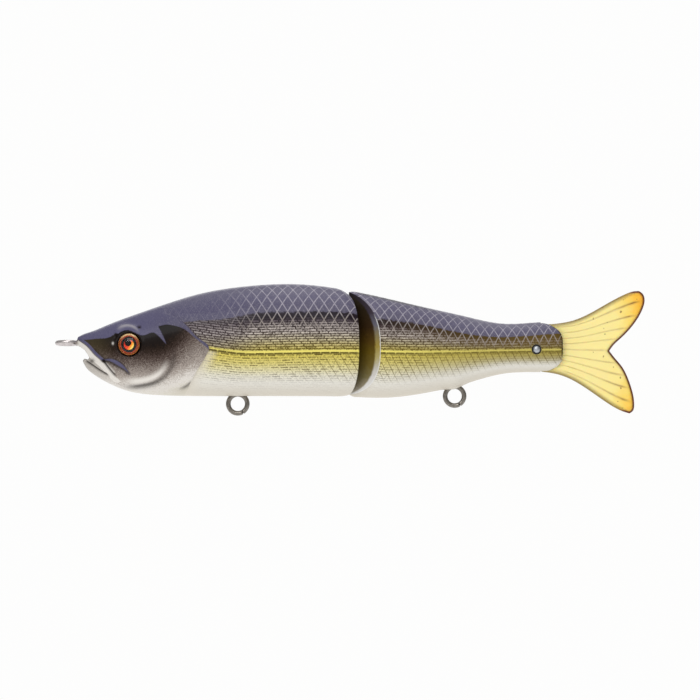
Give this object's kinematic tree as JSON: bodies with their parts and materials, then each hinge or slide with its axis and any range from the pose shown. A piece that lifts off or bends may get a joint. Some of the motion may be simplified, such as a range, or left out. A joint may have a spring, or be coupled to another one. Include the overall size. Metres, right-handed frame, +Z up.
{
  "type": "swimbait",
  "caption": "Jointed fish-shaped fishing lure: hard hollow head section and rear section on a vertical hinge, soft forked tail, wire eyes for line and hooks.",
  "frame": {"origin": "centre of the line tie's outer ring", "axes": "+X along the fish from the line tie to the tail, +Y to its right side, +Z up out of its back"},
  "size_m": [0.1867, 0.0232, 0.0417],
  "materials": {
    "painted_shell": "painted and clear-coated moulded plastic, dark back, gold flank and white belly",
    "steel_wire": "dark nickel-plated steel wire",
    "hinge_steel": "stainless steel",
    "ballast_metal": "dull cast weight metal",
    "eye_foil": "printed foil disc, orange iris round a black pupil",
    "eye_lens": "clear domed resin",
    "tail_pin_metal": "polished steel",
    "soft_tail": "translucent yellow soft plastic with orange tips"
  },
  "bodies": {
    "front_section": {"front_shell_left": "painted_shell", "front_shell_right": "painted_shell", "line_tie": "steel_wire", "front_hook_eye": "steel_wire", "hinge_eye_upper": "hinge_steel", "hinge_eye_lower": "hinge_steel", "ballast_fore": "ballast_metal", "ballast_aft": "ballast_metal", "eye_foil_left": "eye_foil", "eye_foil_right": "eye_foil", "eye_lens_left": "eye_lens", "eye_lens_right": "eye_lens"},
    "rear_section": {"rear_shell_left": "painted_shell", "rear_shell_right": "painted_shell", "hinge_pin": "hinge_steel", "rear_hook_eye": "steel_wire", "ballast_rear": "ballast_metal", "tail_pin": "tail_pin_metal", "tail_pin_cap": "tail_pin_metal"},
    "tail": {"tail_fin": "soft_tail"}
  },
  "joints": [
    {"name": "body_joint", "type": "hinge", "parent": "front_section", "child": "rear_section", "pos_m": [0.092, 0, -0.0004], "axis": [0, 0, 1], "range_deg": [-25, 25]},
    {"name": "tail_flex", "type": "hinge", "parent": "rear_section", "child": "tail", "pos_m": [0.157, 0, -0.002], "axis": [0, 0, 1], "range_deg": [-30, 30], "stiffness_Nm_per_rad": 0.01, "deforming": ["tail_fin"]}
  ]
}
